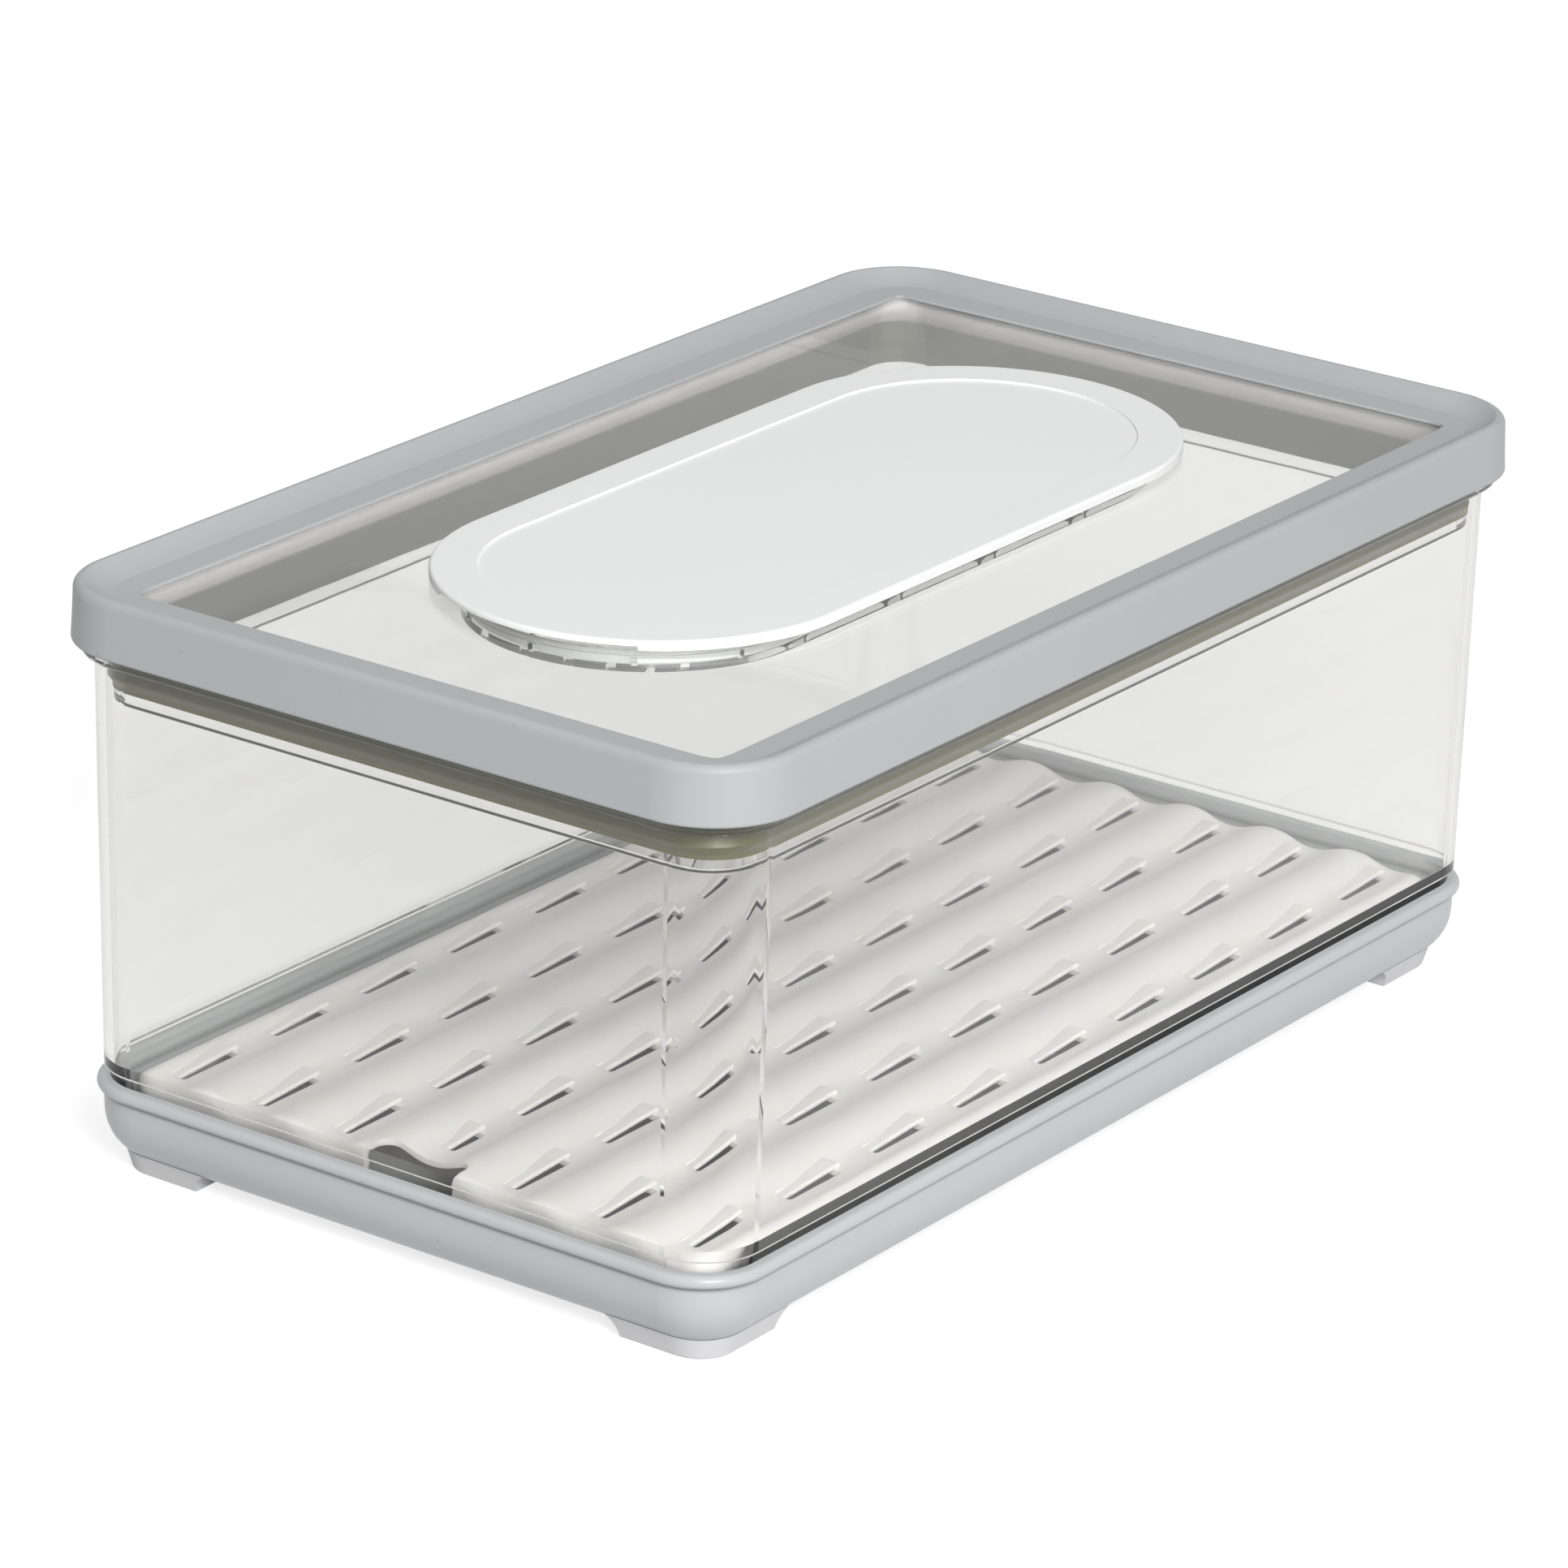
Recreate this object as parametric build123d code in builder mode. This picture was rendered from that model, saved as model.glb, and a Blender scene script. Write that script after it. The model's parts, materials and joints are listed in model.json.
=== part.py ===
from build123d import *
import math
import os

# Fridge storage bin, lengths in millimetres
# X runs along the long side, Y along the short side, Z up from the floor
# Every ring shares one rounded outline, and an inset is measured in from it

# Outline of the lid frame, the widest piece
outline_length = 316.0
outline_width = 188.4
outline_radius = 21.0

# Clearances
moving_gap = 0.3
seat_gap = 0.2
press_gap = 0.05

# Common to several pieces
edge_break = 0.5
overlap = 1.0

# Corner feet
foot_height = 2.5
foot_top = 5.0
foot_top_inset = 10.9
foot_bottom_inset = 12.4
foot_arm = 13.0
foot_length_x = 36.0
foot_length_y = 35.6
foot_scoop = 5.5
foot_edge = 0.6

# Base tray
tray_floor = 1.45
tray_round = 12.25
tray_wall_inset = 6.2
tray_low_inset = 6.25
tray_height = 19.75
tray_bead_overhang = 1.55
tray_bead_radius = 1.6

# Clear bin
bin_height = 122.5
bin_wall = 2.2
bin_top_inset = 5.04
bin_low_inset = 6.22
bin_foot_step = 1.4
bin_step_height = 20.85
bin_foot_draft = 0.1
bin_corner = 10.0
bead_overhang = 3.04
bead_height = 5.1
bead_round = 1.8

# Drain insert
insert_wall = 1.4
insert_height = 15.85
insert_clearance = 5.28
insert_skirt_clearance = 3.68
insert_wave = 1.15
insert_pitch = 23.4
insert_edge_round = 4.0
slot_length = 18.6
slot_width = 2.0
slot_pitch = 31.65
slot_margin = 6.0
slot_round = 0.9
hood_width = 5.0
hood_wall = 1.2
hood_rise = 1.1
hood_overhang = 2.0
finger_width = 24.2
finger_depth = 8.9
finger_round = 4.0
finger_margin = 6.7

# Lid frame
frame_height = 13.4
frame_overlap = 2.1
frame_skirt = 1.65
frame_draft = 0.55
frame_top_round = 1.8
frame_bottom_round = 0.8
crest_width = 0.5
dish_inset = 9.0
dish_drop = 3.1
dish_sag = 0.5
window_inset = 16.06
window_edge_drop = 3.5
window_drop = 4.1
window_radius = 2.0
lip_wall = 2.6
rib_inset = 3.2
rib_width = 1.8

# Clear lid panel
panel_thickness = 2.0
plug_inset = 10.4
plug_wall = 1.8
plug_depth = 20.4
flange_width = 1.0
flange_height = 3.3

# Filter well in the panel
well_half_length = 103.8
well_half_width = 39.9
well_step = 1.0
well_wall = 1.6
well_floor = 1.4
well_depth = 7.7
well_lower_height = 4.0
collar_height = 0.7
vent_width = 1.4
vent_height = 1.8
vent_pitch = 24.0
floor_vent_length = 30.0
floor_vent_width = 3.0
floor_vent_pitch_x = 36.0
floor_vent_pitch_y = 9.0

# Seal
seal_height = 10.2
seal_width = 1.5
seal_shoulder = 0.5
seal_upper_tip = 2.4
seal_waist = 5.0
seal_lower_tip = 7.1
seal_foot = 9.2

# Cap
cap_overhang_x = 4.9
cap_overhang_y = 7.6
cap_thickness = 2.2
cap_edge_round = 0.8
cap_recess_inset = 10.5
cap_recess = 0.5
cap_plug = 1.7
cap_plug_wall = 1.4
cap_notch_width = 54.0
cap_notch_depth = 14.0
cap_notch_rise = 1.0

# Filter
holder_wall = 1.3
holder_floor = 1.2
holder_flange = 0.9
holder_grid_bar = 1.4
holder_grid_pitch = 12.0
pad_clearance = 0.3
pad_thickness = 3.0

half_length = outline_length / 2
half_width = outline_width / 2

# Heights, stacked up from the floor
tray_bottom = foot_height
tray_floor_top = tray_bottom + tray_floor
tray_top = tray_bottom + tray_height
bin_bottom = tray_floor_top + press_gap
bin_floor_top = bin_bottom + bin_wall
bin_corner_height = bin_bottom + bin_corner
bin_step = bin_bottom + bin_step_height
bin_top = bin_bottom + bin_height
bead_bottom = bin_top - bead_height
frame_bottom = bin_top - frame_overlap
frame_top = frame_bottom + frame_height
window_plane = frame_top - window_drop
panel_bottom = window_plane - panel_thickness
plug_bottom = panel_bottom - plug_depth
flange_top = plug_bottom + flange_height
well_bottom = window_plane - well_depth
well_ledge = well_bottom + well_lower_height
collar_top = window_plane + collar_height
cap_bottom = collar_top + seat_gap
cap_top = cap_bottom + cap_thickness


def at(inset, height):
    """Point of a ring section at an inset from the outline and a height."""
    return (half_length - inset, height)


def ring_path(inset):
    """Closed rounded outline at an inset, started on the middle of the +X side."""
    x = half_length - inset
    y = half_width - inset
    r = outline_radius - inset
    c = r * (1 - math.sqrt(0.5))
    with BuildLine() as path:
        Line((x, 0), (x, y - r))
        ThreePointArc((x, y - r), (x - c, y - c), (x - r, y))
        Line((x - r, y), (-x + r, y))
        ThreePointArc((-x + r, y), (-x + c, y - c), (-x, y - r))
        Line((-x, y - r), (-x, -y + r))
        ThreePointArc((-x, -y + r), (-x + c, -y + c), (-x + r, -y))
        Line((-x + r, -y), (x - r, -y))
        ThreePointArc((x - r, -y), (x - c, -y + c), (x, -y + r))
        Line((x, -y + r), (x, 0))
    return path.wire()


def rounded_plate(inset):
    """Filled outline at an inset, for use in a sketch."""
    return RectangleRounded(
        outline_length - 2 * inset,
        outline_width - 2 * inset,
        outline_radius - inset,
    )


def arc_about(centre, start, end):
    """Arc from start to end round a centre, less than half a turn."""
    across = (start[0] + end[0]) / 2 - centre[0]
    along = (start[1] + end[1]) / 2 - centre[1]
    reach = math.dist(centre, start) / math.hypot(across, along)
    middle = (centre[0] + across * reach, centre[1] + along * reach)
    return ThreePointArc(start, middle, end)


def stadium(half_long, half_wide):
    """Long round-ended shape centred on the origin, for use in a sketch."""
    return SlotOverall(2 * half_long, 2 * half_wide)


os.makedirs("parts", exist_ok=True)

# Clear bin
bin_inner_top = bin_top_inset + bin_wall
bin_inner_low = bin_low_inset + bin_wall
bin_step_inset = bin_low_inset + bin_foot_step
bin_foot_inset = bin_step_inset + bin_foot_draft
bin_inner_foot = bin_foot_inset + bin_wall
bin_floor_inset = bin_foot_inset + bin_corner
bead_inset = bin_top_inset - bead_overhang

with BuildPart() as bin_body:
    with BuildSketch(Plane.XZ):
        with BuildLine():
            Line(at(bin_floor_inset + overlap, bin_bottom), at(bin_floor_inset, bin_bottom))
            arc_about(
                at(bin_floor_inset, bin_corner_height),
                at(bin_floor_inset, bin_bottom),
                at(bin_foot_inset, bin_corner_height),
            )
            Polyline(
                at(bin_foot_inset, bin_corner_height),
                at(bin_step_inset, bin_step),
                at(bin_low_inset, bin_step + bin_foot_draft),
                at(bin_top_inset, bead_bottom),
                at(bead_inset + bead_round, bead_bottom),
            )
            arc_about(
                at(bead_inset + bead_round, bead_bottom + bead_round),
                at(bead_inset + bead_round, bead_bottom),
                at(bead_inset, bead_bottom + bead_round),
            )
            Line(
                at(bead_inset, bead_bottom + bead_round),
                at(bead_inset, bin_top - edge_break),
            )
            arc_about(
                at(bead_inset + edge_break, bin_top - edge_break),
                at(bead_inset, bin_top - edge_break),
                at(bead_inset + edge_break, bin_top),
            )
            Line(at(bead_inset + edge_break, bin_top), at(bin_inner_top - edge_break, bin_top))
            arc_about(
                at(bin_inner_top - edge_break, bin_top - edge_break),
                at(bin_inner_top - edge_break, bin_top),
                at(bin_inner_top, bin_top - edge_break),
            )
            Polyline(
                at(bin_inner_top, bin_top - edge_break),
                at(bin_inner_low, bin_step + bin_wall),
                at(bin_inner_foot - bin_foot_draft, bin_step - 2 * bin_wall),
                at(bin_inner_foot, bin_corner_height),
            )
            arc_about(
                at(bin_floor_inset, bin_corner_height),
                at(bin_inner_foot, bin_corner_height),
                at(bin_floor_inset, bin_floor_top),
            )
            Polyline(
                at(bin_floor_inset, bin_floor_top),
                at(bin_floor_inset + overlap, bin_floor_top),
                at(bin_floor_inset + overlap, bin_bottom),
            )
        make_face()
    sweep(path=ring_path(bin_top_inset))
    with BuildSketch(Plane.XY.offset(bin_bottom)):
        rounded_plate(bin_floor_inset + overlap / 2)
    extrude(amount=bin_wall)
bin_body.part.label = "bin"
export_step(bin_body.part, "parts/bin.step")

# Base tray with a rolled bead round the foot of the bin
tray_floor_inset = tray_low_inset + tray_round
tray_round_height = tray_bottom + tray_round
tray_bead_inset = tray_wall_inset - tray_bead_overhang
tray_bead_centre = tray_bead_inset + tray_bead_radius
tray_bead_height = tray_top - tray_bead_radius
tray_crease_drop = math.sqrt(tray_bead_radius**2 - (tray_bead_centre - tray_wall_inset) ** 2)
tray_inner_top = bin_step_inset - press_gap
tray_inner_low = bin_foot_inset - press_gap

with BuildPart() as tray_body:
    with BuildSketch(Plane.XZ):
        with BuildLine():
            Line(at(tray_floor_inset + overlap, tray_bottom), at(tray_floor_inset, tray_bottom))
            arc_about(
                at(tray_floor_inset, tray_round_height),
                at(tray_floor_inset, tray_bottom),
                at(tray_low_inset, tray_round_height),
            )
            Line(
                at(tray_low_inset, tray_round_height),
                at(tray_wall_inset, tray_bead_height - tray_crease_drop),
            )
            ThreePointArc(
                at(tray_wall_inset, tray_bead_height - tray_crease_drop),
                at(tray_bead_inset, tray_bead_height),
                at(tray_bead_centre, tray_top),
            )
            Polyline(
                at(tray_bead_centre, tray_top),
                at(tray_inner_top, tray_top),
                at(tray_inner_low, bin_corner_height),
            )
            arc_about(
                at(bin_floor_inset, bin_corner_height),
                at(tray_inner_low, bin_corner_height),
                at(bin_floor_inset, tray_floor_top),
            )
            Polyline(
                at(bin_floor_inset, tray_floor_top),
                at(tray_floor_inset + overlap, tray_floor_top),
                at(tray_floor_inset + overlap, tray_bottom),
            )
        make_face()
    sweep(path=ring_path(tray_low_inset))
    with BuildSketch(Plane.XY.offset(tray_bottom)):
        rounded_plate(tray_floor_inset + overlap / 2)
    extrude(amount=tray_floor)
tray_body.part.label = "base_tray"
export_step(tray_body.part, "parts/base_tray.step")

# Corner feet, moulded to the rounded underside of the tray
foot_flare = math.degrees(math.atan((foot_bottom_inset - foot_top_inset) / foot_top))
foot_inner_inset = foot_bottom_inset + foot_arm
scoop_x = half_length - foot_length_x - foot_scoop
scoop_y = half_width - foot_length_y - foot_scoop

with BuildPart() as tray_form:
    with BuildSketch(Plane.XY.offset(tray_bottom)):
        rounded_plate(tray_low_inset)
    extrude(amount=tray_round)
    fillet(tray_form.faces().sort_by(Axis.Z)[0].edges(), tray_round - press_gap)

with BuildPart() as foot_front_left:
    with BuildSketch(Plane.XY):
        rounded_plate(foot_bottom_inset)
    extrude(amount=foot_top, taper=-foot_flare)
    with Locations((-half_length + outline_length / 4, -half_width + outline_width / 4, 0)):
        Box(outline_length / 2, outline_width / 2, 4 * foot_top, mode=Mode.INTERSECT)
    with Locations((0, 0, 0)):
        Box(
            outline_length - 2 * foot_inner_inset,
            outline_width - 2 * foot_inner_inset,
            4 * foot_top,
            mode=Mode.SUBTRACT,
        )
    with Locations((0, -half_width, 0)):
        Box(2 * scoop_x, outline_width / 2, 4 * foot_top, mode=Mode.SUBTRACT)
    with Locations((-half_length, 0, 0)):
        Box(outline_width / 2, 2 * scoop_y, 4 * foot_top, mode=Mode.SUBTRACT)
    with Locations((-scoop_x, -half_width, 0)):
        Cylinder(foot_scoop, outline_width / 2, rotation=(90, 0, 0), mode=Mode.SUBTRACT)
    with Locations((-half_length, -scoop_y, 0)):
        Cylinder(foot_scoop, outline_width / 2, rotation=(0, 90, 0), mode=Mode.SUBTRACT)
    add(tray_form.part, mode=Mode.SUBTRACT)
    fillet(foot_front_left.faces().sort_by(Axis.Z)[0].edges(), foot_edge)
foot_front_left.part.label = "foot_front_left"
export_step(foot_front_left.part, "parts/foot_front_left.step")

with BuildPart() as foot_front_right:
    mirror(foot_front_left.part, about=Plane.YZ)
foot_front_right.part.label = "foot_front_right"
export_step(foot_front_right.part, "parts/foot_front_right.step")

with BuildPart() as foot_back_left:
    mirror(foot_front_left.part, about=Plane.XZ)
foot_back_left.part.label = "foot_back_left"
export_step(foot_back_left.part, "parts/foot_back_left.step")

with BuildPart() as foot_back_right:
    mirror(foot_front_right.part, about=Plane.XZ)
foot_back_right.part.label = "foot_back_right"
export_step(foot_back_right.part, "parts/foot_back_right.step")

# Drain insert, a corrugated rack with skirts
insert_inset = bin_inner_low + insert_clearance
insert_skirt_inset = bin_inner_foot + insert_skirt_clearance
insert_seat_radius = bin_corner - bin_wall - seat_gap
insert_seat_reach = bin_floor_inset - insert_skirt_inset
insert_seat_drop = math.sqrt(insert_seat_radius**2 - insert_seat_reach**2)
insert_skirt_bottom = bin_corner_height - insert_seat_drop
insert_crest = insert_skirt_bottom + insert_height
insert_quarter = insert_pitch / 4
insert_arc = (insert_quarter**2 + insert_wave**2) / (2 * insert_wave)
insert_middle = insert_crest - insert_wave
insert_head = insert_crest + 4 * insert_wave
insert_flare = math.degrees(math.atan((insert_skirt_inset - insert_inset) / insert_height))
insert_steps = math.ceil(2 * half_width / insert_pitch) + 1
insert_hollow_round = insert_edge_round - insert_wall
slot_column = int((half_length - insert_inset - slot_margin - slot_length / 2) / slot_pitch)
slot_columns = range(-slot_column, slot_column + 1)
slot_row = int((half_width - insert_inset - slot_margin) / insert_pitch)
slot_rows = range(-slot_row, slot_row + 1)
insert_edge_level = insert_middle - 2 * insert_wave - insert_wall
insert_valley = insert_middle - insert_wave
slot_reach = slot_width + hood_width / 2
slot_side = (slot_reach - slot_width) / 2


def wave_face(drop):
    """Region above the corrugated top, with the top lowered by a drop."""
    lean = math.asin(insert_quarter / insert_arc)
    with BuildSketch(Plane.YZ) as region:
        with BuildLine():
            for step in range(-insert_steps, insert_steps + 1):
                side = 1 if step % 2 else -1
                middle = step * insert_pitch / 2
                centre = insert_middle + side * (insert_wave - insert_arc)
                bend = insert_arc - side * drop
                reach = bend * math.sin(lean)
                level = centre + side * bend * math.cos(lean)
                ThreePointArc(
                    (middle - reach, level),
                    (middle, centre + side * bend),
                    (middle + reach, level),
                )
            Polyline(
                (middle + reach, level),
                (middle + reach, insert_head),
                (-middle - reach, insert_head),
                (-middle - reach, level),
            )
        make_face()
    return region.sketch


def top_edges(part, border):
    """Edges round the outside of the corrugated top."""
    return part.edges().filter_by(
        lambda edge: edge.bounding_box().min.Z > insert_edge_level
        and (edge.geom_type != GeomType.LINE or abs(edge.center().Y) > border)
    )


def slot_hood(length):
    """Hood that rises from the valley at its low end and hangs over one slot."""
    with BuildPart() as hood:
        with BuildSketch(Plane.YZ):
            with Locations(((slot_width + hood_width) / 2, -hood_wall / 2)):
                SlotOverall(hood_width, hood_wall)
        extrude(amount=length)
    lift = math.degrees(math.atan(hood_rise / length))
    return hood.part.rotate(Axis.Y, -lift)


insert_border = half_width - insert_inset - 2 * insert_wall
finger_back = -half_length + insert_inset + finger_depth
slot_ends = [column * slot_pitch + slot_length / 2 for column in slot_columns]
slot_lines = [row * insert_pitch for row in slot_rows]
short_end = slot_ends[0]
short_length = short_end - finger_back - finger_margin
full_slots = [
    (end, line) for end in slot_ends for line in slot_lines if (end, line) != (short_end, 0)
]

with BuildPart() as insert_hollow:
    with BuildSketch(Plane.XY.offset(insert_skirt_bottom)):
        rounded_plate(insert_skirt_inset + insert_wall)
    extrude(amount=insert_head - insert_skirt_bottom, taper=-insert_flare)
    extrude(wave_face(insert_wall), amount=half_length, both=True, mode=Mode.SUBTRACT)
    fillet(top_edges(insert_hollow, insert_border), insert_hollow_round)

with BuildPart() as insert_body:
    with BuildSketch(Plane.XY.offset(insert_skirt_bottom)):
        rounded_plate(insert_skirt_inset)
    extrude(amount=insert_head - insert_skirt_bottom, taper=-insert_flare)
    extrude(wave_face(0), amount=half_length, both=True, mode=Mode.SUBTRACT)
    fillet(top_edges(insert_body, insert_border), insert_edge_round)
    add(insert_hollow.part, mode=Mode.SUBTRACT)
    with BuildSketch(Plane.XY.offset(insert_head)):
        for ends, length in ((full_slots, slot_length), ([(short_end, 0)], short_length)):
            with Locations([(end - length / 2, line + slot_side) for end, line in ends]):
                RectangleRounded(length, slot_reach, slot_round)
        with Locations((-half_length + insert_inset, 0)):
            RectangleRounded(2 * finger_depth, finger_width, finger_round)
    extrude(amount=insert_skirt_bottom - insert_head, mode=Mode.SUBTRACT)
    for ends, length in ((full_slots, slot_length), ([(short_end, 0)], short_length)):
        with Locations([(end - length, line, insert_valley) for end, line in ends]):
            add(slot_hood(length + hood_overhang))
insert_body.part.label = "drain_insert"
export_step(insert_body.part, "parts/drain_insert.step")

# Lid frame, a ring with a raised outer lip and a skirt over the bin bead
rib_bottom = bin_top + seat_gap
crest_inset = frame_draft + frame_top_round
rib_inner = rib_inset + rib_width
dish_start = crest_inset + crest_width
dish_height = frame_top - dish_drop
window_edge_height = frame_top - window_edge_drop
lip_underside = frame_top - lip_wall

with BuildPart() as frame_body:
    with BuildSketch(Plane.XZ):
        with BuildLine():
            Line(
                at(0, frame_bottom + frame_bottom_round),
                at(frame_draft, frame_top - frame_top_round),
            )
            arc_about(
                at(crest_inset, frame_top - frame_top_round),
                at(frame_draft, frame_top - frame_top_round),
                at(crest_inset, frame_top),
            )
            Line(at(crest_inset, frame_top), at(dish_start, frame_top))
            ThreePointArc(
                at(dish_start, frame_top),
                at((dish_start + dish_inset) / 2, (frame_top + dish_height) / 2 - dish_sag),
                at(dish_inset, dish_height),
            )
            Line(at(dish_inset, dish_height), at(window_inset - edge_break, window_edge_height))
            arc_about(
                at(window_inset - edge_break, window_edge_height - edge_break),
                at(window_inset - edge_break, window_edge_height),
                at(window_inset, window_edge_height - edge_break),
            )
            Polyline(
                at(window_inset, window_edge_height - edge_break),
                at(window_inset, window_plane),
                at(rib_inner, window_plane),
                at(rib_inner, rib_bottom),
                at(rib_inset, rib_bottom),
                at(rib_inset, lip_underside),
                at(frame_skirt, lip_underside),
                at(frame_skirt, frame_bottom),
                at(frame_bottom_round, frame_bottom),
            )
            arc_about(
                at(frame_bottom_round, frame_bottom + frame_bottom_round),
                at(frame_bottom_round, frame_bottom),
                at(0, frame_bottom + frame_bottom_round),
            )
        make_face()
    sweep(path=ring_path(0))
    with BuildSketch(Plane.XY.offset(window_plane)):
        RectangleRounded(
            outline_length - 2 * window_inset,
            outline_width - 2 * window_inset,
            window_radius,
        )
    extrude(amount=window_drop, mode=Mode.SUBTRACT)
frame_body.part.label = "lid_frame"
export_step(frame_body.part, "parts/lid_frame.step")

# Clear lid panel with its plug skirt and the filter well
panel_inset = rib_inner + moving_gap
plug_inner = plug_inset + plug_wall
flange_inset = plug_inset - flange_width
well_upper_half_length = well_half_length + well_step
well_upper_half_width = well_half_width + well_step
well_inner_long = well_half_length - well_wall
well_inner_wide = well_half_width - well_wall
well_straight = well_half_length - well_half_width
well_floor_top = well_bottom + well_floor
well_inner_ledge = well_ledge + well_floor
vent_level = well_floor_top + vent_height / 2
vent_turn = math.degrees(vent_pitch / well_half_width)
vent_turns = int(90 / vent_turn)
vent_columns = 1 + 2 * int(well_straight / vent_pitch)
floor_vent_columns = 1 + 2 * int((well_inner_long - floor_vent_length / 2) / floor_vent_pitch_x)
floor_vent_rows = 1 + 2 * int((well_inner_wide - floor_vent_pitch_y) / floor_vent_pitch_y)

with BuildPart() as panel_body:
    with BuildSketch(Plane.XZ):
        with BuildLine():
            Polyline(
                at(plug_inset, panel_bottom + panel_thickness / 2),
                at(plug_inset, flange_top),
                at(flange_inset, flange_top),
                at(flange_inset, plug_bottom + edge_break),
            )
            arc_about(
                at(flange_inset + edge_break, plug_bottom + edge_break),
                at(flange_inset, plug_bottom + edge_break),
                at(flange_inset + edge_break, plug_bottom),
            )
            Line(at(flange_inset + edge_break, plug_bottom), at(plug_inner - edge_break, plug_bottom))
            arc_about(
                at(plug_inner - edge_break, plug_bottom + edge_break),
                at(plug_inner - edge_break, plug_bottom),
                at(plug_inner, plug_bottom + edge_break),
            )
            Polyline(
                at(plug_inner, plug_bottom + edge_break),
                at(plug_inner, panel_bottom + panel_thickness / 2),
                at(plug_inset, panel_bottom + panel_thickness / 2),
            )
        make_face()
    sweep(path=ring_path(plug_inset))
    with BuildSketch(Plane.XY.offset(panel_bottom)):
        rounded_plate(panel_inset)
    extrude(amount=panel_thickness)
    with BuildSketch(Plane.XY.offset(well_ledge)):
        stadium(well_upper_half_length, well_upper_half_width)
    extrude(amount=collar_top - well_ledge)
    with BuildSketch(Plane.XY.offset(well_bottom)):
        stadium(well_half_length, well_half_width)
    extrude(amount=well_ledge - well_bottom)
    with BuildSketch(Plane.XY.offset(well_inner_ledge)):
        stadium(well_inner_long + well_step, well_inner_wide + well_step)
    extrude(amount=collar_top - well_inner_ledge, mode=Mode.SUBTRACT)
    with BuildSketch(Plane.XY.offset(well_floor_top)):
        stadium(well_inner_long, well_inner_wide)
    extrude(amount=well_inner_ledge - well_floor_top, mode=Mode.SUBTRACT)
    with BuildSketch(Plane.XZ):
        with Locations((0, vent_level)):
            with GridLocations(vent_pitch, vent_pitch, vent_columns, 1):
                Rectangle(vent_width, vent_height)
    extrude(amount=well_upper_half_width, both=True, mode=Mode.SUBTRACT)
    for side in (-1, 1):
        for step in range(-vent_turns, vent_turns + 1):
            with Locations(Location((side * well_straight, 0, vent_level), (0, 0, step * vent_turn))):
                with Locations((side * well_half_width, 0, 0)):
                    Box(4 * well_wall, vent_width, vent_height, mode=Mode.SUBTRACT)
    with BuildSketch(Plane.XY.offset(well_bottom)):
        with GridLocations(
            floor_vent_pitch_x,
            floor_vent_pitch_y,
            floor_vent_columns,
            floor_vent_rows,
        ):
            SlotOverall(floor_vent_length, floor_vent_width)
    extrude(amount=well_floor, mode=Mode.SUBTRACT)
panel_body.part.label = "lid_panel"
export_step(panel_body.part, "parts/lid_panel.step")

# Seal with two lobes, round the plug skirt
seal_tip_inset = bin_inner_top + moving_gap
seal_body_inset = plug_inset - seal_width
seal_shoulder_inset = seal_body_inset - seal_shoulder
seal_top = flange_top + seal_height

with BuildPart() as seal_body:
    with BuildSketch(Plane.XZ) as seal_section:
        with BuildLine():
            Polyline(
                at(plug_inset, flange_top),
                at(plug_inset, seal_top),
                at(seal_shoulder_inset, seal_top),
                at(seal_tip_inset, seal_top - seal_upper_tip),
                at(seal_body_inset, seal_top - seal_waist),
                at(seal_tip_inset + 2 * press_gap, seal_top - seal_lower_tip),
                at(seal_body_inset, seal_top - seal_foot),
                at(seal_body_inset, flange_top),
                at(plug_inset, flange_top),
            )
        make_face()
        fillet(
            seal_section.vertices().filter_by(
                lambda corner: corner.X > half_length - seal_body_inset - press_gap
                and corner.Y > flange_top
            ),
            edge_break,
        )
    sweep(path=ring_path(plug_inset))
seal_body.part.label = "lid_seal"
export_step(seal_body.part, "parts/lid_seal.step")

# Cap over the filter well
cap_half_length = well_upper_half_length + cap_overhang_x
cap_half_width = well_upper_half_width + cap_overhang_y
cap_plug_long = well_inner_long + well_step - moving_gap
cap_plug_wide = well_inner_wide + well_step - moving_gap

with BuildPart() as cap_body:
    with BuildSketch(Plane.XY.offset(cap_bottom)):
        stadium(cap_half_length, cap_half_width)
    extrude(amount=cap_thickness)
    fillet(cap_body.faces().sort_by(Axis.Z)[-1].edges(), cap_edge_round)
    with BuildSketch(Plane.XY.offset(cap_top)):
        stadium(cap_half_length - cap_recess_inset, cap_half_width - cap_recess_inset)
    extrude(amount=-cap_recess, mode=Mode.SUBTRACT)
    with Locations((-cap_half_length, 0, cap_bottom)):
        Box(2 * cap_notch_depth, cap_notch_width, 2 * cap_notch_rise, mode=Mode.SUBTRACT)
    with BuildSketch(Plane.XY.offset(cap_bottom - cap_plug)):
        stadium(cap_plug_long, cap_plug_wide)
    extrude(amount=cap_plug)
    with BuildSketch(Plane.XY.offset(cap_bottom - cap_plug)):
        stadium(cap_plug_long - cap_plug_wall, cap_plug_wide - cap_plug_wall)
    extrude(amount=cap_plug, mode=Mode.SUBTRACT)
cap_body.part.label = "vent_cap"
export_step(cap_body.part, "parts/vent_cap.step")

# Filter holder, an open grid tray that hangs on the ledge of the well
holder_bottom = well_floor_top + seat_gap
holder_flange_bottom = well_inner_ledge + seat_gap
holder_top = cap_bottom - cap_plug - moving_gap
holder_floor_top = holder_bottom + holder_floor
holder_long = well_inner_long - moving_gap
holder_wide = well_inner_wide - moving_gap
holder_inner_long = holder_long - holder_wall
holder_inner_wide = holder_wide - holder_wall
grid_long = holder_inner_long - holder_grid_bar
grid_wide = holder_inner_wide - holder_grid_bar
grid_columns = 2 * round(holder_long / holder_grid_pitch)
grid_rows = 2 * round(holder_wide / holder_grid_pitch)

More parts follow.
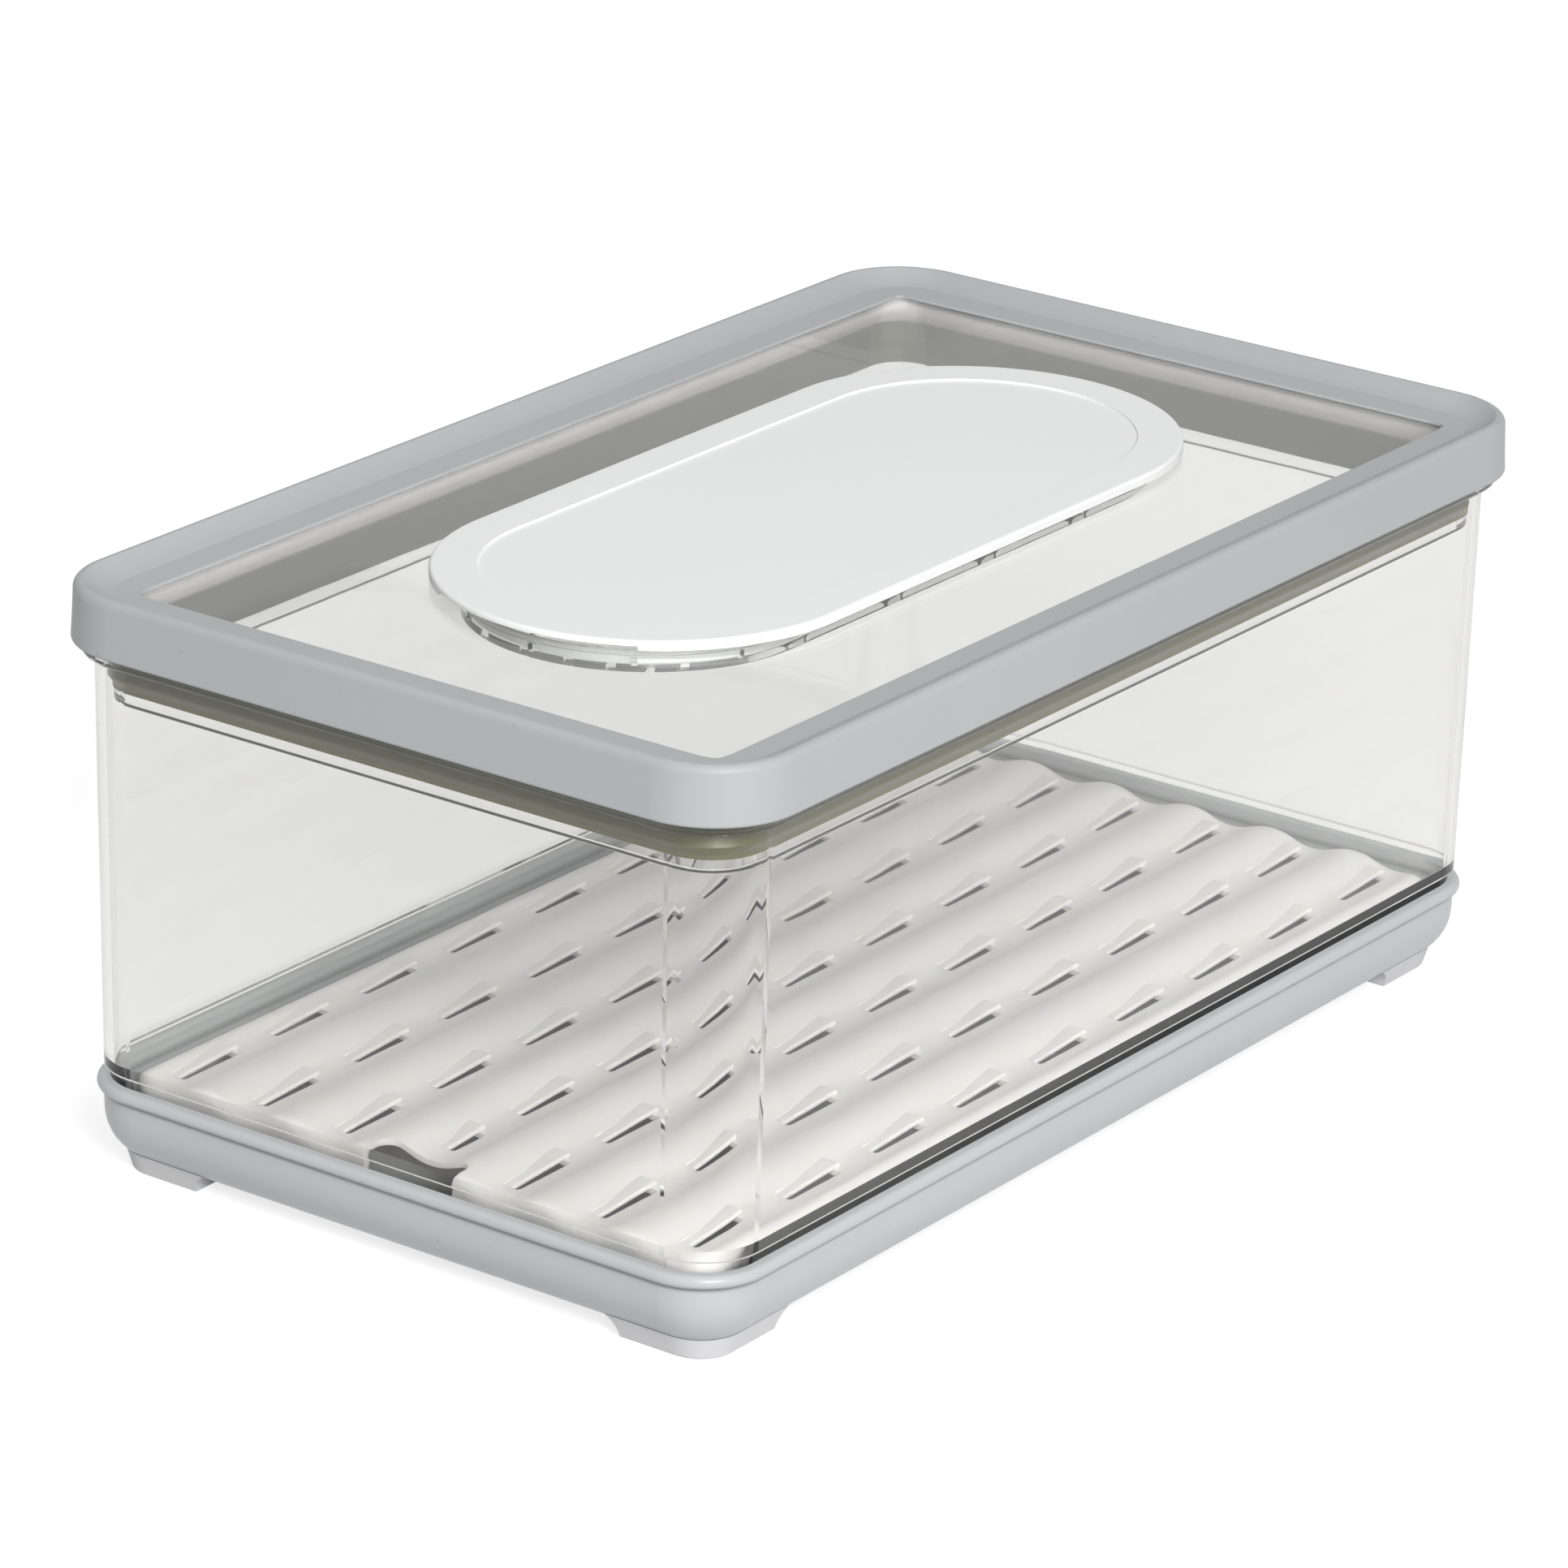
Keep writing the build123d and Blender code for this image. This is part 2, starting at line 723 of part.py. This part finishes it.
with BuildPart() as holder_body:
    with BuildSketch(Plane.XY.offset(holder_bottom)):
        stadium(holder_long, holder_wide)
    extrude(amount=holder_top - holder_bottom)
    with BuildSketch(Plane.XY.offset(holder_flange_bottom)):
        stadium(holder_long + holder_flange, holder_wide + holder_flange)
    extrude(amount=holder_top - holder_flange_bottom)
    with BuildSketch(Plane.XY.offset(holder_floor_top)):
        stadium(holder_inner_long, holder_inner_wide)
    extrude(amount=holder_top - holder_floor_top, mode=Mode.SUBTRACT)
    with BuildSketch(Plane.XY.offset(holder_bottom)):
        stadium(grid_long, grid_wide)
        with GridLocations(holder_grid_pitch, holder_grid_pitch, grid_columns, 1):
            Rectangle(holder_grid_bar, outline_width, mode=Mode.SUBTRACT)
        with GridLocations(holder_grid_pitch, holder_grid_pitch, 1, grid_rows):
            Rectangle(outline_length, holder_grid_bar, mode=Mode.SUBTRACT)
    extrude(amount=holder_floor, mode=Mode.SUBTRACT)
holder_body.part.label = "filter_holder"
export_step(holder_body.part, "parts/filter_holder.step")

# Carbon felt pad in the holder
with BuildPart() as pad_body:
    with BuildSketch(Plane.XY.offset(holder_floor_top)):
        stadium(holder_inner_long - pad_clearance, holder_inner_wide - pad_clearance)
    extrude(amount=pad_thickness)
    fillet(pad_body.faces().sort_by(Axis.Z)[-1].edges(), edge_break)
pad_body.part.label = "filter_pad"
export_step(pad_body.part, "parts/filter_pad.step")
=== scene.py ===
import json
import math

import bmesh
import bpy
from mathutils import Matrix, Vector


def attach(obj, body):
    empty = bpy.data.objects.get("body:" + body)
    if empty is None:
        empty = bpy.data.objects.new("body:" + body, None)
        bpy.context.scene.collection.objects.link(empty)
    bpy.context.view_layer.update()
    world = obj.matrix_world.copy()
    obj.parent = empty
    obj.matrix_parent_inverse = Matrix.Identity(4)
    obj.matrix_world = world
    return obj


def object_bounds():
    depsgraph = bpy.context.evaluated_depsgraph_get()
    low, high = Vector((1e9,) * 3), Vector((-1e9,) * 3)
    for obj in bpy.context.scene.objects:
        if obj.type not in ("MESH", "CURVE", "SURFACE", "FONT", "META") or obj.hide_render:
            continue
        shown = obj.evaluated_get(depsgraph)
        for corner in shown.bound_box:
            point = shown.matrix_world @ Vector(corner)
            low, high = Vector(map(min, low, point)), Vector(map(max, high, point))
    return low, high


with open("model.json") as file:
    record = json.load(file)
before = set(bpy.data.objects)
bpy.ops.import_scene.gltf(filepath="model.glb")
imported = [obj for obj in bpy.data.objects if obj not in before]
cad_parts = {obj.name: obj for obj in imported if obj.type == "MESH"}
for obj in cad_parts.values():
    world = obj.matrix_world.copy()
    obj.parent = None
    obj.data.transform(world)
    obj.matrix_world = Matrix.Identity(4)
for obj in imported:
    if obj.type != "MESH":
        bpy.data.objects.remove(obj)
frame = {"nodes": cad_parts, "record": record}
nodes = frame["nodes"]
cadLow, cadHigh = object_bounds()
millimetre = 0.001
print("frame loaded:", len(nodes), "nodes")


class Wire:
    # a socket of a finish, with arithmetic that adds Math nodes
    def __init__(self, finish, socket):
        self.finish = finish
        self.socket = socket

    def maths(self, operation, *values):
        inputs = dict(enumerate(values))
        return self.finish.node("ShaderNodeMath", {"operation": operation}, inputs)

    def __add__(self, other):
        return self.maths("ADD", self, other)

    __radd__ = __add__

    def __mul__(self, other):
        return self.maths("MULTIPLY", self, other)

    __rmul__ = __mul__

    def __sub__(self, other):
        return self.maths("SUBTRACT", self, other)

    def __rsub__(self, other):
        return self.maths("SUBTRACT", other, self)

    def __truediv__(self, other):
        return self.maths("DIVIDE", self, other)

    def __gt__(self, other):
        return self.maths("GREATER_THAN", self, other)

    def __pow__(self, other):
        return self.maths("POWER", self, other)


class Finish:
    # a material's node tree, with one method that adds any node
    def __init__(self, owner):
        owner.use_nodes = True
        self.owner = owner
        self.tree = owner.node_tree
        self.tree.nodes.clear()

    def node(self, kind, settings=None, inputs=None, output=0):
        made = self.tree.nodes.new(kind)
        for key, value in (settings or {}).items():
            setattr(made, key, value)
        for key, value in (inputs or {}).items():
            if isinstance(value, Wire):
                self.tree.links.new(value.socket, made.inputs[key])
            else:
                made.inputs[key].default_value = value
        return Wire(self, made.outputs[output]) if made.outputs else None

    def objectPlace(self):
        return self.node("ShaderNodeTexCoord", output="Object")

    def noise(self, size, detail, roughness=0.5):
        inputs = {
            "Vector": self.objectPlace(),
            "Scale": 1 / size,
            "Detail": detail,
            "Roughness": roughness,
        }
        return self.node("ShaderNodeTexNoise", {"noise_dimensions": "3D"}, inputs)

    def blend(self, amount, colourA, colourB):
        settings = {"data_type": "RGBA"}
        return self.node("ShaderNodeMix", settings, {0: amount, 6: colourA, 7: colourB}, 2)

    def bump(self, height, distance, strength):
        inputs = {"Height": height, "Distance": distance, "Strength": strength}
        return self.node("ShaderNodeBump", None, inputs)

    def surface(self, shader):
        self.node("ShaderNodeOutputMaterial", None, {"Surface": shader})


def shade(colour, factor):
    return tuple(c * factor for c in colour) + (1,)


def lightPath(finish, *rays):
    source = finish.tree.nodes.new("ShaderNodeLightPath")
    seen = Wire(finish, source.outputs[rays[0]])
    for ray in rays[1:]:
        seen = seen.maths("MAXIMUM", seen, Wire(finish, source.outputs[ray]))
    return seen


# painted shade: a thin dark line where a bead meets the wall below it
def creaseShade(finish, crease):
    height = finish.node("ShaderNodeSeparateXYZ", None, {0: finish.objectPlace()}, "Z")
    offset = height - crease["height"]
    near = 1 - offset.maths("ABSOLUTE", offset) / crease["reach"]
    return near.maths("MAXIMUM", near, 0.0) * crease["strength"]


# moulded opaque plastics: a fine spark texture, a little drift of tone and handling marks, and,
# where a crease is given, a painted shade line along it
def mouldedPlastic(name, look):
    finish = Finish(bpy.data.materials.new(name))
    drift = finish.noise(look["driftSize"], 3)
    grain = finish.noise(look["grainSize"], 2)
    speck = finish.noise(look["speckSize"], 0) > look["speckLevel"]
    smear = finish.noise(look["smearSize"], 4, 0.6)
    pale = shade(look["colour"], 1 + look["drift"])
    deep = shade(look["colour"], 1 - look["drift"])
    base = finish.blend(drift, deep, pale)
    speckColour = shade(look["colour"], look["speckShade"])
    base = finish.blend(speck * look["speckStrength"], base, speckColour)
    # painted shade along the crease, by height
    if "crease" in look:
        crease = look["crease"]
        creaseShadeColour = shade(look["colour"], crease["shade"])
        base = finish.blend(creaseShade(finish, crease), base, creaseShadeColour)
    rough = look["roughness"] + (smear - 0.5) * look["smear"] + (grain - 0.5) * look["grainRough"]
    normal = finish.bump(grain, look["grainDepth"], look["grainStrength"])
    finish.surface(
        finish.node(
            "ShaderNodeBsdfPrincipled",
            None,
            {
                "Base Color": base,
                "Roughness": rough,
                "Normal": normal,
                "IOR": look["ior"],
                "Subsurface Weight": look["subsurface"],
                "Subsurface Radius": look["subsurfaceRadius"],
                "Subsurface Scale": 1.0,
                "Sheen Weight": look["sheen"],
            },
        )
    )
    return finish.owner


# clear rigid plastic: it takes up a little light along its depth, so that its edges darken; its
# colour is also darkened where it is seen edge-on, a painted shade along its rims
def clearPlastic(name, look):
    finish = Finish(bpy.data.materials.new(name))
    wave = finish.noise(look["waveSize"], 1)
    smear = finish.noise(look["smearSize"], 4, 0.6)
    # painted shade: the colour turns grey where the surface is seen edge-on
    facing = finish.node("ShaderNodeLayerWeight", None, {"Blend": 0.5}, "Facing")
    grazingShadeAmount = facing ** look["rimPower"]
    colourWithRimShade = finish.blend(grazingShadeAmount, (*look["colour"], 1), (*look["rimShadeColour"], 1))
    body = finish.node(
        "ShaderNodeBsdfPrincipled",
        None,
        {
            "Base Color": colourWithRimShade,
            "Roughness": look["roughness"] + (smear - 0.5) * look["smear"],
            "IOR": look["ior"],
            "Transmission Weight": 1.0,
            "Normal": finish.bump(wave, look["waveDepth"], look["waveStrength"]),
        },
    )
    passing = finish.node("ShaderNodeBsdfTransparent", None, {"Color": (*look["shadow"], 1)})
    shadowRay = lightPath(finish, "Is Shadow Ray")
    depth = finish.node(
        "ShaderNodeVolumeAbsorption",
        None,
        {"Color": (*look["depthColour"], 1), "Density": look["depthDensity"]},
    )
    shell = finish.node("ShaderNodeMixShader", None, {0: shadowRay, 1: body, 2: passing})
    finish.node("ShaderNodeOutputMaterial", None, {"Surface": shell, "Volume": depth})
    return finish.owner


frameLook = {
    "colour": (0.445, 0.46, 0.465),
    "drift": 0.03,
    "driftSize": 0.05,
    "grainSize": 0.0004,
    "grainDepth": 0.00003,
    "grainStrength": 0.5,
    "grainRough": 0.06,
    "speckSize": 0.0016,
    "speckLevel": 0.89,
    "speckStrength": 0.5,
    "speckShade": 0.35,
    "smearSize": 0.03,
    "smear": 0.12,
    "roughness": 0.48,
    "ior": 1.5,
    "subsurface": 0.0,
    "subsurfaceRadius": (0.004, 0.003, 0.002),
    "sheen": 0.0,
}
baseLook = {
    **frameLook,
    "colour": (0.55, 0.56, 0.575),
    "roughness": 0.34,
    "grainStrength": 0.25,
    "speckStrength": 0.25,
    # painted shade along the crease under the tray's bead
    "crease": {"height": 0.0191, "reach": 0.0011, "strength": 0.75, "shade": 0.25},
}
footLook = {
    **frameLook,
    "colour": (0.71, 0.71, 0.72),
    "roughness": 0.62,
}
insertLook = {
    **frameLook,
    "colour": (0.80, 0.765, 0.74),
    "roughness": 0.42,
    "grainStrength": 0.04,
    "subsurface": 0.35,
    "speckStrength": 0.0,
}
capLook = {
    **frameLook,
    "colour": (0.91, 0.915, 0.915),
    "roughness": 0.38,
    "drift": 0.01,
    "grainStrength": 0.25,
    "speckStrength": 0.1,
}
holderLook = {**capLook, "colour": (0.76, 0.76, 0.75)}
sealLook = {
    **frameLook,
    "colour": (0.08, 0.08, 0.022),
    "roughness": 0.40,
    "grainSize": 0.0003,
    "grainStrength": 0.3,
    "speckStrength": 0.0,
    "sheen": 0.1,
}
feltLook = {
    **frameLook,
    "colour": (0.03, 0.03, 0.03),
    "drift": 0.4,
    "driftSize": 0.002,
    "grainSize": 0.0006,
    "grainDepth": 0.0003,
    "grainStrength": 1.0,
    "roughness": 0.95,
    "sheen": 0.3,
}
clearLook = {
    "colour": (0.99, 0.99, 0.985),
    # painted shade colour and falloff for edge-on rims
    "rimShadeColour": (0.42, 0.42, 0.44),
    "rimPower": 5.0,
    "depthColour": (0.24, 0.23, 0.18),
    "depthDensity": 56.0,
    "waveSize": 0.03,
    "waveDepth": 0.0004,
    "waveStrength": 0.15,
    "smearSize": 0.05,
    "smear": 0.02,
    "roughness": 0.015,
    "ior": 1.5,
    "shadow": (0.93, 0.94, 0.94),
}

retainerLook = {**frameLook, "colour": (0.50, 0.475, 0.475), "speckStrength": 0.0}

finishes = {
    "clear_bin": clearPlastic("clearBin", clearLook),
    "clear_lid": clearPlastic("clearLid", {**clearLook, "depthDensity": 14.0}),
    "base_grey": mouldedPlastic("baseGrey", baseLook),
    "foot_soft": mouldedPlastic("footSoft", footLook),
    "insert_white": mouldedPlastic("insertWhite", insertLook),
    "frame_grey": mouldedPlastic("frameGrey", frameLook),
    "seal_olive": mouldedPlastic("sealOlive", sealLook),
    "cap_white": mouldedPlastic("capWhite", capLook),
    "holder_white": mouldedPlastic("holderWhite", holderLook),
    "carbon_felt": mouldedPlastic("carbonFelt", feltLook),
}
slotOf = {part["node"]: part["material_slot"] for part in frame["record"]["subparts"]}
for name, cadNode in nodes.items():
    cadNode.data.materials.clear()
    cadNode.data.materials.append(finishes[slotOf[name]])
retainerGrey = mouldedPlastic("retainerGrey", retainerLook)
print("finishes:", len(finishes))


# a closed section swept round a rounded rectangle
def sweepTree():
    tree = bpy.data.node_groups.new("ringSweep", "GeometryNodeTree")
    sockets = {
        "Section": "NodeSocketGeometry",
        "Length": "NodeSocketFloat",
        "Width": "NodeSocketFloat",
        "Corner": "NodeSocketFloat",
        "Steps": "NodeSocketInt",
        "Finish": "NodeSocketMaterial",
    }
    for label, kind in sockets.items():
        tree.interface.new_socket(label, in_out="INPUT", socket_type=kind)
    tree.interface.new_socket("Ring", in_out="OUTPUT", socket_type="NodeSocketGeometry")
    given = tree.nodes.new("NodeGroupInput")
    outline = tree.nodes.new("GeometryNodeCurvePrimitiveQuadrilateral")
    corners = tree.nodes.new("GeometryNodeFilletCurve")
    corners.mode = "POLY"
    section = tree.nodes.new("GeometryNodeMeshToCurve")
    sweep = tree.nodes.new("GeometryNodeCurveToMesh")
    solid = tree.nodes.new("GeometryNodeRealizeInstances")
    coat = tree.nodes.new("GeometryNodeSetMaterial")
    result = tree.nodes.new("NodeGroupOutput")
    for start, end in (
        (given.outputs["Length"], outline.inputs["Width"]),
        (given.outputs["Width"], outline.inputs["Height"]),
        (outline.outputs["Curve"], corners.inputs["Curve"]),
        (given.outputs["Corner"], corners.inputs["Radius"]),
        (given.outputs["Steps"], corners.inputs["Count"]),
        (given.outputs["Section"], section.inputs["Mesh"]),
        (corners.outputs["Curve"], sweep.inputs["Curve"]),
        (section.outputs["Curve"], sweep.inputs["Profile Curve"]),
        (sweep.outputs["Mesh"], solid.inputs["Geometry"]),
        (solid.outputs["Geometry"], coat.inputs["Geometry"]),
        (given.outputs["Finish"], coat.inputs["Material"]),
        (coat.outputs["Geometry"], result.inputs["Ring"]),
    ):
        tree.links.new(start, end)
    return tree


def sweptRing(name, look, finish):
    # the section's points are an inset from the outline and a height, in millimetres
    path = look["pathInset"]
    points = [
        ((path - inset) * millimetre, -height * millimetre, 0) for inset, height in look["section"]
    ]
    edges = [(i, (i + 1) % len(points)) for i in range(len(points))]
    section = bpy.data.meshes.new(name + "Section")
    section.from_pydata(points, edges, [])
    piece = bpy.data.objects.new(name, section)
    bpy.context.scene.collection.objects.link(piece)
    tree = sweepTree()
    length, width, corner = (
        (side - take * path) * millimetre for side, take in zip(look["outline"], (2, 2, 1))
    )
    sizes = {"Length": length, "Width": width, "Corner": corner}
    sizes.update({"Steps": look["cornerSteps"], "Finish": finish})
    modifier = piece.modifiers.new("sweep", "NODES")
    modifier.node_group = tree
    for socket in tree.interface.items_tree:
        if socket.in_out == "INPUT" and socket.name in sizes:
            modifier[socket.identifier] = sizes[socket.name]
    made = bpy.data.meshes.new_from_object(
        piece.evaluated_get(bpy.context.evaluated_depsgraph_get())
    )
    piece.modifiers.clear()
    piece.data = made
    shape = bmesh.new()
    shape.from_mesh(made)
    bmesh.ops.remove_doubles(shape, verts=shape.verts, dist=look["merge"] * millimetre)
    bmesh.ops.recalc_face_normals(shape, faces=shape.faces)
    shape.to_mesh(made)
    shape.free()
    return piece


# grey retainer ring, clipped round the plug between the window and the seal
retainerRing = {
    "outline": (316.0, 188.4, 21.0),
    "pathInset": 9.0,
    "cornerSteps": 16,
    "merge": 0.001,
    "section": [
        (10.3, 125.1),
        (10.3, 131.5),
        (6.4, 131.5),
        (6.4, 130.3),
        (8.0, 129.6),
        (8.0, 126.4),
        (7.8, 126.1),
        (7.8, 125.5),
        (8.2, 125.1),
    ],
}
retainer = sweptRing("sealRetainer", retainerRing, retainerGrey)
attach(retainer, "lid")
print("retainer ring:", len(retainer.data.polygons), "faces")


# camera, at the photograph's angle
cameraLook = {
    "place": (-1.28052, -0.91356, 0.67351),
    "azimuth": 35.712,
    "elevation": -21.073,
    "roll": 1.461,
    "sensor": 36.0,
    "lens": 170.27,
    "clip": (0.05, 50.0),
}


def makeCamera(look):
    azimuth, elevation, roll = (math.radians(look[k]) for k in ("azimuth", "elevation", "roll"))
    ahead = Vector(
        (
            math.cos(elevation) * math.cos(azimuth),
            math.cos(elevation) * math.sin(azimuth),
            math.sin(elevation),
        )
    )
    level = Vector((math.sin(azimuth), -math.cos(azimuth), 0))
    upright = level.cross(ahead)
    right = level * math.cos(roll) + upright * math.sin(roll)
    top = upright * math.cos(roll) - level * math.sin(roll)
    camera = bpy.data.objects.new("camera", bpy.data.cameras.new("camera"))
    camera.data.sensor_width = look["sensor"]
    camera.data.lens = look["lens"]
    camera.data.clip_start, camera.data.clip_end = look["clip"]
    camera.matrix_world = Matrix.Translation(look["place"]) @ Matrix(
        (
            (right.x, top.x, -ahead.x, 0),
            (right.y, top.y, -ahead.y, 0),
            (right.z, top.z, -ahead.z, 0),
            (0, 0, 0, 1),
        )
    )
    bpy.context.scene.collection.objects.link(camera)
    bpy.context.scene.camera = camera


makeCamera(cameraLook)


# studio: a pale floor, a soft white room that is dimmer on the left, and two soft lamps
studioLook = {
    "floorSize": 12.0,
    "floorDrop": 0.0002,
    "floorColour": (0.5, 0.5, 0.5),
    "floorGlow": 0.74,
    "floorCatch": (0.44, 0.44, 0.44),
    "backdropGlow": 1.0,
    "frontGlow": 0.25,
    "frontThrough": 0.55,
    "roomBright": 0.80,
    "roomDim": 0.22,
    "dimSide": (0.55, 0.83, 0.0),
    "lamps": {
        "overhead": {"place": (0.5, 0.5, 1.6), "size": 0.9, "power": 2.5},
        "front": {"place": (-1.13, -1.42, 1.1), "size": 0.7, "power": 33.0},
    },
}


def makeStudio(look):
    half = look["floorSize"] / 2
    corners = [(-half, -half, 0), (half, -half, 0), (half, half, 0), (-half, half, 0)]
    mesh = bpy.data.meshes.new("floor")
    mesh.from_pydata(corners, [], [(0, 1, 2, 3)])
    mesh.transform(Matrix.Translation((0, 0, -look["floorDrop"])))
    floor = bpy.data.objects.new("floor", mesh)
    bpy.context.scene.collection.objects.link(floor)
    finish = Finish(bpy.data.materials.new("floorWhite"))
    plain = finish.node("ShaderNodeBsdfDiffuse", None, {"Color": (*look["floorColour"], 1)})
    catch = finish.node("ShaderNodeBsdfDiffuse", None, {"Color": (*look["floorCatch"], 1)})
    glow = finish.node("ShaderNodeEmission", None, {"Strength": look["floorGlow"]})
    shown = finish.node("ShaderNodeAddShader", None, {0: catch, 1: glow})
    seen = lightPath(finish, "Is Camera Ray", "Is Glossy Ray", "Is Transmission Ray")
    finish.surface(finish.node("ShaderNodeMixShader", None, {0: seen, 1: plain, 2: shown}))
    mesh.materials.append(finish.owner)

    world = bpy.data.worlds.new("studio")
    bpy.context.scene.world = world
    room = Finish(world)
    facing = room.node(
        "ShaderNodeVectorMath",
        {"operation": "DOT_PRODUCT"},
        {0: room.node("ShaderNodeTexCoord", output="Generated"), 1: look["dimSide"]},
        "Value",
    )
    spread = facing * 0.5 + 0.5
    lit = look["roomBright"] + spread * (look["roomDim"] - look["roomBright"])
    through = lightPath(room, "Is Transmission Ray")
    front = look["frontGlow"] + through * (look["frontThrough"] - look["frontGlow"])
    gleam = front + spread * (look["backdropGlow"] - front)
    strength = lit + lightPath(room, "Is Glossy Ray", "Is Transmission Ray") * (gleam - lit)
    soft = room.node("ShaderNodeBackground", None, {"Strength": strength})
    white = room.node("ShaderNodeBackground", None, {"Strength": 1.0})
    seen = lightPath(room, "Is Camera Ray")
    mixed = room.node("ShaderNodeMixShader", None, {0: seen, 1: soft, 2: white})
    room.node("ShaderNodeOutputWorld", None, {"Surface": mixed})

    aim = (cadLow + cadHigh) / 2
    for name, lamp in look["lamps"].items():
        light = bpy.data.lights.new(name, "AREA")
        light.size = lamp["size"]
        light.energy = lamp["power"]
        holder = bpy.data.objects.new(name, light)
        holder.location = lamp["place"]
        toward = aim - Vector(lamp["place"])
        holder.rotation_euler = toward.to_track_quat("-Z", "Y").to_euler()
        bpy.context.scene.collection.objects.link(holder)


makeStudio(studioLook)
print("studio ready")

# light goes through up to a dozen clear walls before it is seen
lightBounces = {"max_bounces": 24, "transmission_bounces": 20, "transparent_max_bounces": 24}
scene = bpy.context.scene
scene.view_settings.view_transform = "Standard"
for setting, bounces in lightBounces.items():
    setattr(scene.cycles, setting, bounces)
